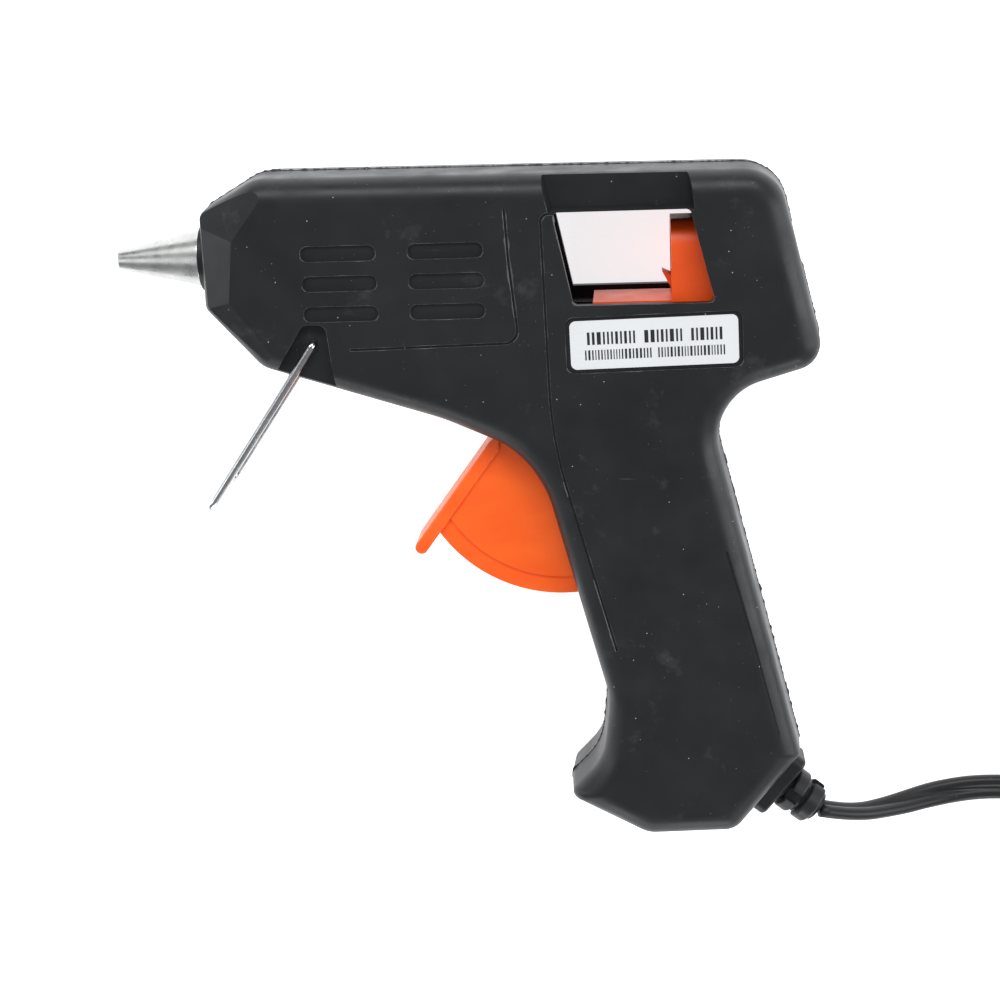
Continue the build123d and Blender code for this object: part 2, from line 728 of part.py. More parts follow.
with BuildPart() as stick_gripper:             # rocking claw under the stick
    with BuildSketch(mid.offset(-gripper_half)):
        with BuildLine():
            Polyline(
                gripper_tip, (carriage_front + 0.2, -5.6), (gripper_pivot[0] - 1.0, gripper_pivot[1] + 1.9),
                (gripper_pivot[0] + 2.0, gripper_pivot[1]), (gripper_pivot[0], gripper_pivot[1] - 2.0),
                (carriage_front + 0.6, tongue_top + 0.5), close=True,
            )
        make_face()
        with Locations(gripper_pivot):
            Circle(2.1)
            Circle(1.0 + pin_clearance, mode=Mode.SUBTRACT)
    extrude(amount=2 * gripper_half)
save(stick_gripper.part, "stick_gripper")

with BuildPart() as gripper_pin:
    with BuildSketch(mid.offset(-carriage_half_width + 0.2)):
        with Locations(gripper_pivot):
            Circle(1.0)
    extrude(amount=carriage_half_width + gripper_pin_reach - 0.2)
save(gripper_pin.part, "gripper_pin")

spring_r = 1.8
spring_wire_r = 0.3
spring_turns = 12
spring_start = spring_hook[0] + 6.2
spring_loop = spring_post_r + spring_wire_r + 0.1
spring_end = spring_post[0] - 3.0
spring_v = spring_post[1]

with BuildPart() as return_spring:             # tension spring, arm to a post in the right shell
    with BuildLine():
        coil_line = Helix(
            pitch=(spring_end - spring_start) / spring_turns, height=spring_end - spring_start,
            radius=spring_r, center=mid.from_local_coords(Vector(spring_start, spring_v, 0)),
            direction=(1, 0, 0),
        )
    with BuildSketch(Plane(coil_line @ 0, z_dir=coil_line % 0)):
        Circle(spring_wire_r)
    sweep(path=coil_line.edge(), is_frenet=True)
    front_hook = in_row(
        (spring_hook[0] + 4.4, spring_hook[1], 3.1), (*spring_hook, 3.1), (*spring_hook, -2.6)
    )
    post_u, post_v = spring_post
    back_hook = in_row(
        (post_u - 0.5, post_v + spring_loop, 0), (post_u + spring_loop, post_v + spring_loop, 0),
        (post_u + spring_loop, post_v - 0.5, 0),
    )
    for hook in ([coil_line @ 0, *front_hook], [coil_line @ 1, *back_hook]):
        with BuildLine() as hook_line:
            Polyline(*hook)
        with BuildSketch(Plane(hook_line.line @ 0, z_dir=hook_line.line % 0)):
            Circle(spring_wire_r)
        sweep(path=hook_line.line, transition=Transition.ROUND)
    with Locations(coil_line @ 0, coil_line @ 1):
        Sphere(spring_wire_r + 0.02)
save(return_spring.part, "return_spring")

# ---- stand -----------------------------------------------------------------------------------------
leg_z = half_width - relief_depth + 0.1 + stand_wire_r
peg_z = half_width - relief_depth - wall - 1.0
foot = (
    stand_pivot[0] + stand_leg * cos(radians(stand_angle)),
    stand_pivot[1] + stand_leg * sin(radians(stand_angle)),
)
with BuildPart() as stand:                     # bent wire, both ends sprung into the shells
    with BuildLine(mid) as stand_line:
        FilletPolyline(
            (*stand_pivot, peg_z), (*stand_pivot, leg_z), (*foot, leg_z), (*foot, -leg_z),
            (*stand_pivot, -leg_z), (*stand_pivot, -peg_z), radius=[1.0, 2.4, 2.4, 1.0],
        )
    with BuildSketch(Plane(stand_line.line @ 0, z_dir=stand_line.line % 0)):
        Circle(stand_wire_r)
    sweep(path=stand_line.line)
save(stand.part, "stand")

with BuildPart() as label:
    with BuildSketch(mid.offset(half_width - label_recess)):
        with Locations(Location(label_mid, label_tilt)):
            RectangleRounded(*label_size, 1.2)
    extrude(amount=label_t)
save(label.part, "label")

# ---- strain relief and the lead inside the handle ---------------------------------------------------
relief_flange = (14.6, 9.4, 3.7)               # along the chamfer, across it and its thickness
rib_r = 4.7
rib_t = 2.9
rib_gap = 1.0

with BuildPart() as flange_block:
    with BuildSketch(relief_plane.offset(0.05)):
        RectangleRounded(relief_flange[1], relief_flange[0], 2.0)
    extrude(amount=relief_flange[2])
    fillet(flange_block.faces().sort_by(Axis((0, 0, 0), relief_out))[-1].edges(), radius=0.7)

with BuildPart() as strain_relief:
    with BuildSketch(relief_plane.offset(-wall - 2.2)):
        Circle(4.6)
    extrude(amount=2.2)
    with BuildSketch(relief_plane.offset(-wall - 2.2)):
        Circle(relief_neck_r)
    extrude(amount=wall + 2.2 + relief_reach - 0.6)
    add(flange_block.part)
    for k in range(2):
        with BuildPart(mode=Mode.PRIVATE) as rib:
            with BuildSketch(relief_plane.offset(relief_flange[2] + rib_gap * (k + 1) + rib_t * k)):
                Circle(rib_r - 0.2 * k)
            extrude(amount=rib_t)
            fillet(rib.edges().filter_by(GeomType.CIRCLE), radius=0.6)
        add(rib.part)
    for k in range(2):                         # notches that let the ribs bend
        notch_at = relief_neck_r + 1.4
        with BuildSketch(relief_plane.offset(relief_flange[2] + rib_gap * (k + 1) + rib_t * k)):
            for side in (1, -1):
                with Locations((0, side * notch_at) if k else (side * notch_at, 0)):
                    Rectangle(2.4, 2.4)
        extrude(amount=rib_t, mode=Mode.SUBTRACT)
save(strain_relief.part, "strain_relief")


def bend_radii(points):
    """Radius at each corner, as large as its two runs allow."""
    radii = []
    for before, corner, after in zip(points, points[1:], points[2:]):
        runs = (corner - before, after - corner)
        turn = radians(runs[0].get_angle(runs[1]))
        radii.append(0.45 * min(run.length for run in runs) / tan(turn / 2))
    return radii


def lead(points, radius, name):
    """Save a round lead along straight runs and tangent arcs, and print its radii and its volume check."""
    radii = bend_radii(points)
    with BuildPart() as tube:
        with BuildLine() as route:
            FilletPolyline(*points, radius=radii)
        with BuildSketch(Plane(route.line @ 0, z_dir=route.line % 0)):
            Circle(radius)
        sweep(path=route.line)
    length = sum(edge.length for edge in route.edges())
    volume_ratio = tube.part.volume / (length * pi * radius**2)
    print(name, "radii", [round(r, 1) for r in radii], "length", round(length, 1),
          "volume over section times length", round(volume_ratio, 4))
    save(tube.part, name)


inner_start = (chamfer_mid[0] - relief_out.X * (wall + 2.2), chamfer_mid[1] - relief_out.Y * (wall + 2.2), 0)
split_end = (97.0, -92.5, 0.0)
lead(
    in_row(
        inner_start, (inner_start[0] - 4.0 * relief_out.X, inner_start[1] - 4.0 * relief_out.Y, 0),
        (clamp_mid[0], clamp_mid[1] - 1.2, 0), split_end,
    ),
    clamp_cord_r, "inner_cord",
)

wire_r = 0.9
wire_side = 2.0                                # spacing of the two wires, in u and in v
wire_z = -inner_z + 2.4
tab_z = tab_offset
crimp_back = tab_end + crimp_length
wire_rise = [
    (99.0, -84.0, -3.0), (97.0, -71.0, wire_z), (91.5, -56.0, wire_z), (85.0, -41.0, wire_z),
    (76.0, -28.0, wire_z), (64.0, -20.5, wire_z),
]
live_points = [
    (split_end[0] + 1.1, split_end[1], 0.0), *wire_rise, (54.0, -18.0, -6.0), (47.0, -14.5, -tab_z),
    (42.5, tab_heights[1], -tab_z), (crimp_back, tab_heights[1], -tab_z),
]
neutral_points = [
    (split_end[0] - 1.1, split_end[1], 0.0), *[(u - wire_side, v - wire_side, z) for u, v, z in wire_rise],
    (53.0, -20.5, -3.0), (47.5, -15.5, tab_z), (43.0, tab_heights[0] - 0.6, tab_z),
    (crimp_back, tab_heights[0], tab_z),
]
lead(in_row(*live_points), wire_r, "live_wire")
lead(in_row(*neutral_points), wire_r, "neutral_wire")

clamp_t = 2.4
clamp_screw_head_r = 1.9
with BuildPart() as cord_clamp:                # bar across the lead, on two posts of the right shell
    with BuildSketch(clamp_plane.offset(clamp_cord_r)):
        SlotOverall(clamp_pitch + 2 * post_r, 2 * post_r)
    extrude(amount=clamp_t)
    with BuildSketch(clamp_plane.offset(clamp_cord_r)):
        with GridLocations(clamp_pitch, 0, 2, 1):
            Circle(clamp_screw_r + 0.2)
    extrude(amount=clamp_t, mode=Mode.SUBTRACT)
save(cord_clamp.part, "cord_clamp")

with BuildPart() as clamp_screws:
    with BuildSketch(clamp_plane.offset(clamp_cord_r + clamp_t)):
        with GridLocations(clamp_pitch, 0, 2, 1):
            Circle(clamp_screw_head_r)
    extrude(amount=1.3)
    with BuildSketch(clamp_plane.offset(clamp_cord_r + clamp_t)):
        with GridLocations(clamp_pitch, 0, 2, 1):
            Circle(clamp_screw_r)
    extrude(amount=-clamp_t - 5.0)
save(clamp_screws.part, "clamp_screws")

# ---- power cord, in row coordinates ------------------------------------------------------------------
coil_at = (149.3, -36.6)                       # centre of the coil on the surface
coil_half_t = coil_columns * cord_w / 2
cord_start = mid.from_local_coords(Vector(*chamfer_mid, 0) + relief_out * relief_reach)
cord_route = [
    (75.3, -68.5, 11.0), (84.3, -69.1, 6.2), (93.8, -67.7, 3.0), (103.8, -66.5, cord_floor),
    (115.6, -67.2, cord_floor), (133.1, -70.3, cord_floor),
]
tail_route = [(181.0, -48.1, 7.8), (185.9, -36.1, 7.3), (187.3, -24.6, 6.85), (187.3, -14.6, 6.85)]
lead([cord_start, *[Vector(*point) for point in cord_route]], cord_w / 2, "power_cord")
lead([Vector(*point) for point in tail_route], cord_w / 2, "cord_tail")

coil_height = coil_layers * cord_w + 0.4
tie_t = 0.8
with BuildPart() as cord_tie:                  # twist tie round the coil's turns
    with BuildSketch(Plane((coil_at[0] - 2, coil_at[1] + coil_mid_r, 0), x_dir=(0, 1, 0), z_dir=(1, 0, 0))):
        with Locations((0, (coil_height + tie_t) / 2)):
            RectangleRounded(2 * coil_half_t + 2 * tie_t, coil_height + tie_t, 2.6)
        with Locations((0, (coil_height + tie_t) / 2)):
            RectangleRounded(2 * coil_half_t, coil_height - tie_t, 1.8, mode=Mode.SUBTRACT)
    extrude(amount=4)
save(cord_tie.part, "cord_tie")

with BuildPart() as cord_coil:                 # outer shape of the wound length
    with BuildSketch(Plane((*coil_at, 0))):
        Circle(coil_mid_r + coil_half_t)
        Circle(coil_mid_r - coil_half_t, mode=Mode.SUBTRACT)
    extrude(amount=coil_height)
    fillet(cord_coil.edges().filter_by(GeomType.CIRCLE), radius=2.0)
    add(cord_tie.part, mode=Mode.SUBTRACT)
save(cord_coil.part, "cord_coil")

# ---- plug --------------------------------------------------------------------------------------------
plug_at = Plane(tail_route[-1], x_dir=(1, 0, 0), z_dir=(0, 1, 0))
with BuildPart() as plug_pins:
    with BuildSketch(plug_at.offset(plug_tail + plug_depth)):
        with GridLocations(plug_pin_spacing, 0, 2, 1):
            Circle(plug_pin_r)
    extrude(amount=plug_pin_length)
    fillet(plug_pins.faces().sort_by(Axis.Y)[-2:].edges(), radius=plug_pin_tip_r)
    with BuildSketch(plug_at.offset(plug_tail + plug_depth)):
        with GridLocations(plug_pin_spacing, 0, 2, 1):
            Circle(plug_pin_r - 0.5)
    extrude(amount=-6.0)
save(plug_pins.part, "plug_pins")

with BuildPart() as plug_body:
    with BuildSketch(plug_at):
        Circle(3.2)
    with BuildSketch(plug_at.offset(plug_tail)):
        Circle(4.6)
    loft()
    for k in range(4):                         # ribs of the plug's own strain relief
        with BuildSketch(plug_at.offset(1.6 + 3.0 * k)):
            Circle(4.2 + 0.25 * k)
        extrude(amount=1.5)
    with BuildSketch(plug_at.offset(plug_tail - 1)):
        SlotOverall(14.0, 10.0)
    with BuildSketch(plug_at.offset(plug_tail + plug_depth * 0.55)):
        SlotOverall(plug_face[0] - 7, plug_face[1] - 0.6)
    with BuildSketch(plug_at.offset(plug_tail + plug_depth)):
        SlotOverall(plug_face[0], plug_face[1] - 0.4)
    loft()
    add(plug_pins.part, mode=Mode.SUBTRACT)
save(plug_body.part, "plug_body")
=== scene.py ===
"""Looks for the mini glue gun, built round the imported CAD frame. Metres, row frame."""
import math
import random

import bmesh
import bpy
from mathutils import Matrix, Vector, noise
from mathutils.bvhtree import BVHTree


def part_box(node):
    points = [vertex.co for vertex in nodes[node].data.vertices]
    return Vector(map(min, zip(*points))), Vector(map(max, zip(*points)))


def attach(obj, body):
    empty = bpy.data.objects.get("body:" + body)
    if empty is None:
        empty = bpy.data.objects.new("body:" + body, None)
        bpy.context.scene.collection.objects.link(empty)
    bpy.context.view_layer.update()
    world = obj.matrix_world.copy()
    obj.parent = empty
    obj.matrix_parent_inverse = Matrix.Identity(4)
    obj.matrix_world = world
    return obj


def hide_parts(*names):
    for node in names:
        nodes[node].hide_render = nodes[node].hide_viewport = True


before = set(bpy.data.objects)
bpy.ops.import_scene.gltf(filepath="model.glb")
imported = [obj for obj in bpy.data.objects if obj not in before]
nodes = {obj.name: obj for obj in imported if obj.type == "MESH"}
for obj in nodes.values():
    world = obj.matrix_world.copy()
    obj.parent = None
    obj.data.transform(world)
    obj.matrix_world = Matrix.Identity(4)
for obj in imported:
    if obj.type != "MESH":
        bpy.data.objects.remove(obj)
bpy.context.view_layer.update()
MM = 0.001
rng = random.Random(7)

# ---- camera --------------------------------------------------------------------------------------
camera = bpy.data.objects.new("camera", bpy.data.cameras.new("camera"))
bpy.context.collection.objects.link(camera)
camera.data.lens = 72.97
camera.data.sensor_width = 36
camera.location = (0.0340, 0.1076, 0.403)
target = Vector((0.0049, 0.0009, 0.013))
ROLL = 2.2
forward = (target - camera.location).normalized()
right = forward.cross(Vector((0, 1, 0))).normalized()
up = right.cross(forward)
turn = Matrix.Rotation(math.radians(ROLL), 3, forward)
right, up = turn @ right, turn @ up
camera.rotation_euler = Matrix((right, up, -forward)).transposed().to_euler()
bpy.context.scene.camera = camera


# ---- materials -----------------------------------------------------------------------------------
class Look:
    """A procedural material, built up node by node."""

    def __init__(self, name, color, roughness=0.4, metallic=0.0, **sockets):
        self.material = bpy.data.materials.new(name)
        self.material.use_nodes = True
        self.tree = self.material.node_tree
        self.shader = self.tree.nodes["Principled BSDF"]
        self.shader.inputs["Base Color"].default_value = (*color, 1)
        self.shader.inputs["Roughness"].default_value = roughness
        self.shader.inputs["Metallic"].default_value = metallic
        for socket, value in sockets.items():
            self.shader.inputs[socket.replace("_", " ")].default_value = value
        self.place = self.node("ShaderNodeTexCoord").outputs["Object"]

    def node(self, kind, settings=None, **inputs):
        made = self.tree.nodes.new(kind)
        for key, value in (settings or {}).items():
            setattr(made, key, value)
        for key, value in inputs.items():
            self.feed(made.inputs[key.replace("_", " ")], value)
        return made

    def feed(self, socket, value):
        if isinstance(value, bpy.types.NodeSocket):
            self.tree.links.new(value, socket)
        else:
            socket.default_value = value

    def stretched(self, scale, shift=(0, 0, 0), turn=0.0):
        mapping = self.node("ShaderNodeMapping", Vector=self.place)
        mapping.inputs["Scale"].default_value = scale
        mapping.inputs["Location"].default_value = shift
        mapping.inputs["Rotation"].default_value = (0, 0, turn)
        return mapping.outputs["Vector"]

    def noise(self, scale, detail=3.0, vector=None, roughness=0.5):
        made = self.node(
            "ShaderNodeTexNoise", Scale=scale, Detail=detail, Roughness=roughness,
            Vector=vector or self.place,
        )
        return made.outputs["Fac"]

    def ramp(self, value, low, high, to_low=0.0, to_high=1.0):
        made = self.node("ShaderNodeMapRange", {"clamp": True}, Value=value)
        limits = {"From Min": low, "From Max": high, "To Min": to_low, "To Max": to_high}
        for key, number in limits.items():
            made.inputs[key].default_value = number
        return made.outputs["Result"]

    def math(self, operation, a, b=0.0):
        made = self.node("ShaderNodeMath", {"operation": operation, "use_clamp": operation == "ADD"})
        self.feed(made.inputs[0], a)
        self.feed(made.inputs[1], b)
        return made.outputs[0]

    def specks(self, scale, size, share):
        """Small round marks, on a share of the cells."""
        cells = self.node("ShaderNodeTexVoronoi", Scale=scale, Vector=self.place)
        dots = self.ramp(cells.outputs["Distance"], size, size * 0.5)
        chosen = self.node("ShaderNodeSeparateColor", Color=cells.outputs["Color"]).outputs[0]
        return self.math("MULTIPLY", dots, self.math("LESS_THAN", chosen, share))

    def color(self, base, layers):
        """Base color with (mask, color) layers over it."""
        current = None
        for mask, color in layers:
            made = self.node("ShaderNodeMix", {"data_type": "RGBA"})
            self.feed(made.inputs[0], mask)
            self.feed(made.inputs[6], current if current else (*base, 1))
            self.feed(made.inputs[7], (*color, 1))
            current = made.outputs[2]
        self.tree.links.new(current, self.shader.inputs["Base Color"])

    def bump(self, layers):
        """Bumps from (height, distance in metres) layers."""
        normal = None
        for height, distance in layers:
            made = self.node("ShaderNodeBump", Height=height)
            made.inputs["Distance"].default_value = distance
            made.inputs["Strength"].default_value = 1.0
            if normal:
                self.tree.links.new(normal, made.inputs["Normal"])
            normal = made.outputs["Normal"]
        self.tree.links.new(normal, self.shader.inputs["Normal"])

    def rough(self, value):
        self.tree.links.new(value, self.shader.inputs["Roughness"])


def satin_black(name, tone, dust=1.0, roughness=(0.34, 0.50)):
    """Near-black moulded plastic with dust, rubs and fine scratches."""
    look = Look(name, tone, IOR=1.5, Specular_IOR_Level=0.3)
    cloud = look.noise(38.0, 4.0)
    rubs = look.ramp(look.noise(95.0, 6.0, roughness=0.7), 0.60, 0.78, 0.0, 0.16 * dust)
    drawn_out = look.noise(1.0, 3.0, look.stretched((160, 1800, 1800), turn=0.35))
    streaks = look.ramp(drawn_out, 0.73, 0.79, 0.0, 0.2 * dust)
    dots = look.math("MULTIPLY", look.specks(420.0, 0.055, 0.45), 0.85 * dust)
    fine = look.math("MULTIPLY", look.specks(1300.0, 0.09, 0.10), 0.5 * dust)
    look.color(tone, [
        (look.ramp(cloud, 0.35, 0.65), tuple(channel * 1.28 for channel in tone)),
        (rubs, (0.20, 0.20, 0.20)), (streaks, (0.16, 0.16, 0.16)), (dots, (0.55, 0.55, 0.53)),
        (fine, (0.45, 0.45, 0.44)),
    ])
    look.rough(look.ramp(look.noise(140.0, 5.0), 0.3, 0.7, *roughness))
    look.bump([
        (cloud, 0.00006), (look.noise(2600.0, 3.0), 0.000006), (look.noise(420.0, 2.0), 0.00001),
    ])
    return look.material


def moulded(name, tone, deep, roughness=(0.30, 0.45), subsurface=0.0):
    """Coloured moulded plastic."""
    look = Look(name, tone, IOR=1.48)
    if subsurface:
        look.shader.inputs["Subsurface Weight"].default_value = subsurface
        look.shader.inputs["Subsurface Radius"].default_value = (1.0, 0.35, 0.1)
        look.shader.inputs["Subsurface Scale"].default_value = 0.0015
    flow = look.noise(60.0, 3.0, look.stretched((1, 2.4, 1), turn=0.8))
    drawn_out = look.noise(1.0, 4.0, look.stretched((90, 1500, 1500), turn=1.0))
    scuffs = look.ramp(drawn_out, 0.70, 0.77, 0.0, 0.35)
    scuffed = tuple(min(1, channel * 1.1 + 0.03) for channel in tone)
    look.color(tone, [(look.ramp(flow, 0.35, 0.7), deep), (scuffs, scuffed)])
    look.rough(look.ramp(look.noise(200.0, 4.0), 0.3, 0.7, *roughness))
    look.bump([(look.noise(1800.0, 3.0), 0.000006), (flow, 0.00003)])
    return look.material


def metal(name, tone, roughness=(0.2, 0.34), axis=None, pitch=2600.0, ring=0.000004):
    """Bare metal, with turning rings along an axis if one is given."""
    look = Look(name, tone, metallic=1.0)
    dull = look.noise(260.0, 5.0, roughness=0.65)
    look.color(tone, [(look.ramp(dull, 0.45, 0.75, 0.0, 0.8), tuple(c * 0.72 for c in tone))])
    look.rough(look.ramp(look.noise(500.0, 4.0), 0.3, 0.7, *roughness))
    layers = [(look.noise(1500.0, 3.0), 0.000004)]
    if axis is not None:
        scale = [40.0, 40.0, 40.0]
        scale[axis] = pitch
        layers.append((look.noise(1.0, 2.0, look.stretched(scale)), ring))
    look.bump(layers)
    return look.material


def plain(name, tone, roughness=0.5, grain=900.0, depth=0.00001, metallic=0.0, spread=0.15):
    """A small piece's material: uneven tone and a fine grain."""
    look = Look(name, tone, roughness, metallic)
    cloud = look.noise(grain * 0.12, 4.0)
    look.color(tone, [(look.ramp(cloud, 0.3, 0.7), tuple(c * (1 - spread) for c in tone))])
    look.rough(look.ramp(look.noise(grain * 0.3, 3.0), 0.3, 0.7, roughness - 0.06, roughness + 0.08))
    look.bump([(look.noise(grain, 3.0), depth)])
    return look.material


body_black = satin_black("satin_black", (0.0125, 0.0130, 0.0142))
soft_black = satin_black("soft_vinyl", (0.016, 0.016, 0.0168), dust=0.35, roughness=(0.34, 0.46))
orange = moulded("trigger_orange", (1.0, 0.135, 0.012), (0.93, 0.105, 0.008), subsurface=0.12)
red_orange = moulded("carriage_orange", (0.98, 0.105, 0.010), (0.86, 0.080, 0.008), subsurface=0.08)
nozzle_metal = metal("turned_aluminium", (0.53, 0.53, 0.515), (0.24, 0.36), axis=0)
chamber_metal = metal("cast_aluminium", (0.66, 0.66, 0.65), (0.42, 0.6))
bright_wire = metal("bright_wire", (0.56, 0.56, 0.56), (0.16, 0.26))
steel = metal("zinc_steel", (0.52, 0.53, 0.54), (0.28, 0.42))
nickel = metal("nickel_plate", (0.78, 0.76, 0.70), (0.14, 0.28), axis=1)
label_white = plain("label_film", (0.74, 0.75, 0.76), 0.32, 700.0, 0.000003, spread=0.04)
# lighter tone for the lip strips: partly wear, partly a painted highlight of edges catching light
lip_wear_and_highlight = plain("worn_edge_and_painted_highlight", (0.070, 0.070, 0.072), 0.45, 2600.0, 0.000004, spread=0.55)
label_ink = plain("label_ink", (0.018, 0.018, 0.02), 0.4, 1500.0, 0.000002)
NODE_LOOKS = {
    body_black: ("left_shell", "right_shell"),
    soft_black: ("strain_relief", "inner_cord", "plug_body", "cord_tie", "power_cord", "cord_coil",
                 "cord_tail"),
    orange: ("trigger",),
    red_orange: ("carriage", "stick_gripper"),
    nozzle_metal: ("nozzle",),
    chamber_metal: ("melt_chamber",),
    bright_wire: ("stand", "return_spring"),
    steel: ("shell_screws", "clamp_screws", "trigger_pin", "drive_pin", "gripper_pin",
            "heater_clip", "sleeve_band"),
    nickel: ("plug_pins",),
    label_white: ("label",),
    plain("fired_ceramic", (0.30, 0.29, 0.28), 0.7): ("ptc_heater",),
    metal("rolled_electrode", (0.80, 0.80, 0.81), (0.22, 0.35)): ("heater_electrodes", "wire_crimps"),
    plain("amber_film", (0.52, 0.20, 0.03), 0.25): ("heater_film",),
    plain("silicone", (0.70, 0.64, 0.55), 0.55): ("stick_sleeve",),
    plain("clamp_black", (0.03, 0.03, 0.033), 0.5): ("cord_clamp",),
    plain("insulation_brown", (0.14, 0.055, 0.02), 0.45): ("live_wire",),
    plain("insulation_blue", (0.02, 0.09, 0.36), 0.45): ("neutral_wire",),
}
for material, names in NODE_LOOKS.items():
    for name in names:
        mesh = nodes[name].data
        mesh.materials.clear()
        mesh.materials.append(material)


def add_mesh(name, verts, faces, material, smooth=True):
    mesh = bpy.data.meshes.new(name)
    mesh.from_pydata([tuple(v) for v in verts], [], faces)
    mesh.validate()
    mesh.update()
    for polygon in mesh.polygons:
        polygon.use_smooth = smooth
    mesh.materials.append(material)
    piece = bpy.data.objects.new(name, mesh)
    bpy.context.collection.objects.link(piece)
    return piece


# ---- the lead ------------------------------------------------------------------------------------
CORE_R = 1.35 * MM
CORD_W = 5.2 * MM
COIL_AT = Vector((149.3, -36.6, 0.0)) * MM
COIL_R = 28.5 * MM
COIL_POINTS = 16
EXIT = Vector((68.277, -66.201, 13.0)) * MM
ROUTE = [(75.3, -68.5, 11.0), (84.3, -69.1, 6.0), (93.8, -67.7, 2.4), (103.8, -66.5, 1.7),
         (115.6, -67.2, 1.9), (133.1, -70.3, 2.6)]
TAIL = [(185.9, -36.1, 7.3), (187.3, -24.6, 6.85), (187.3, -14.6, 6.85)]
TAIL_ANGLE = -20.0
FLAT_FROM, FLAT_OVER = 0.006, 0.034            # where the lead turns over to lie flat, in metres
EDGE_FROM, EDGE_OVER = 0.050, 0.03             # and where it stands up again


def step(x):
    x = min(1.0, max(0.0, x))
    return x * x * (3 - 2 * x)


def coil_place(turns):
    """A point of the coil after a number of turns: three columns out to in, then up and back out."""
    level = step((turns - 2.7) / 0.3)
    shift = [step((turns - k - 0.72) / 0.28) for k in (0, 1, 3, 4)]
    radius = COIL_R + CORD_W * (1 - shift[0] - shift[1] + shift[2] + shift[3])
    radius *= 1 / math.cos(math.pi / COIL_POINTS)
    radius += 0.45 * MM * math.sin(2.1 * turns * math.tau + 1.0) * step(turns)
    angle = math.radians(270 + 360 * turns)
    z = CORD_W / 2 + CORD_W * level
    return COIL_AT + Vector((radius * math.cos(angle), radius * math.sin(angle), z))


total_turns = 5 + (360 + TAIL_ANGLE - 270) / 360
route = [EXIT, *[Vector(p) * MM for p in ROUTE]]
route += [coil_place(k / COIL_POINTS) for k in range(int(total_turns * COIL_POINTS) + 1)]
route += [Vector(p) * MM for p in TAIL]

curve = bpy.data.curves.new("lead_path", "CURVE")
curve.dimensions = "3D"
curve.resolution_u = 8
spline = curve.splines.new("NURBS")
spline.points.add(len(route) - 1)
for point, place in zip(spline.points, route):
    point.co = (*place, 1)
spline.order_u = 3
spline.use_endpoint_u = True
path_object = bpy.data.objects.new("lead_path", curve)
bpy.context.collection.objects.link(path_object)
bpy.context.view_layer.update()
path_mesh = bpy.data.meshes.new_from_object(path_object)
path = [vertex.co.copy() for vertex in path_mesh.vertices]
bpy.data.objects.remove(path_object)

lengths = [0.0]
for a, b in zip(path, path[1:]):
    lengths.append(lengths[-1] + (b - a).length)

core_sides = 14
twin_section = []                              # two round cores joined by a narrow web
for side in (1, -1):
    for k in range(core_sides):
        angle = math.radians(-148 + 296 * k / (core_sides - 1)) + (0 if side > 0 else math.pi)
        across = side * (CORD_W / 2 - CORE_R) + CORE_R * math.cos(angle)
        twin_section.append((across, CORE_R * math.sin(angle)))

verts, faces = [], []
count = len(twin_section)
for k, (place, along) in enumerate(zip(path, lengths)):
    before, after = path[max(0, k - 1)], path[min(len(path) - 1, k + 1)]
    tangent = (after - before).normalized()
    side = tangent.cross(Vector((0, 0, 1))).normalized()
    over = side.cross(tangent)
    flat = step((along - FLAT_FROM) / FLAT_OVER) * (1 - step((along - EDGE_FROM) / EDGE_OVER))
    angle = math.radians(90) * (1 - flat) + math.radians(7) * math.sin(along * 55)
    wide = side * math.cos(angle) + over * math.sin(angle)
    thin = wide.cross(tangent)
    verts += [place + wide * x + thin * y for x, y in twin_section]
    if k:
        base, last = k * count, (k - 1) * count
        for i in range(count):
            after_i = (i + 1) % count
            faces.append((last + i, last + after_i, base + after_i, base + i))
faces += [tuple(range(count - 1, -1, -1)), tuple(range(len(verts) - count, len(verts)))]
lead = add_mesh("twin_lead", verts, faces, soft_black)
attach(lead, "casing")
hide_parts("power_cord", "cord_coil", "cord_tail")

# ---- label print: bars in place of lettering -----------------------------------------------------
low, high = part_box("label")
label_low, label_high = Vector(low), Vector(high)
LABEL_H = 9.3                                  # mm


def bar(verts, faces, x0, y0, x1, y1, z, height):
    base = len(verts)
    for z_at in (z, z + height):
        verts += [(x0, y0, z_at), (x1, y0, z_at), (x1, y1, z_at), (x0, y1, z_at)]
    faces += [tuple(base + i for i in quad) for quad in
              ((4, 5, 6, 7), (0, 1, 5, 4), (1, 2, 6, 5), (2, 3, 7, 6), (3, 0, 4, 7))]


# For each row: its height on the label as a share, then its strokes' height, width and gap and its
# words' widths, in mm.
PRINT_ROWS = (
    (0.63, 2.4, 0.50, 0.42, (9.4, 7.4, 5.6)),
    (0.29, 1.9, 0.27, 0.33, (12.4, 12.4)),
)
LABEL_TILT = math.radians(1.2)
WORD_GAP = 1.4
label_middle = (label_low + label_high) / 2
verts, faces = [], []
for row_at, stroke_h, stroke_w, gap, words in PRINT_ROWS:
    x = -(sum(words) + WORD_GAP * (len(words) - 1)) / 2 * MM
    y = (row_at - 0.5) * LABEL_H * MM
    for word in words:
        end = x + word * MM
        while x < end:
            width = stroke_w * rng.choice((0.7, 1.0, 1.0, 1.5)) * MM
            bar(verts, faces, x, y - stroke_h * MM / 2, x + width, y + stroke_h * MM / 2, 0, 0.02 * MM)
            x += width + gap * MM
        x = end + WORD_GAP * MM
face_middle = Vector((label_middle.x, label_middle.y, label_high.z))
place = Matrix.Translation(face_middle) @ Matrix.Rotation(LABEL_TILT, 4, "Z")
verts = [place @ Vector(v) for v in verts]
print_marks = add_mesh("label_marks", verts, faces, label_ink, smooth=False)
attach(print_marks, "casing")

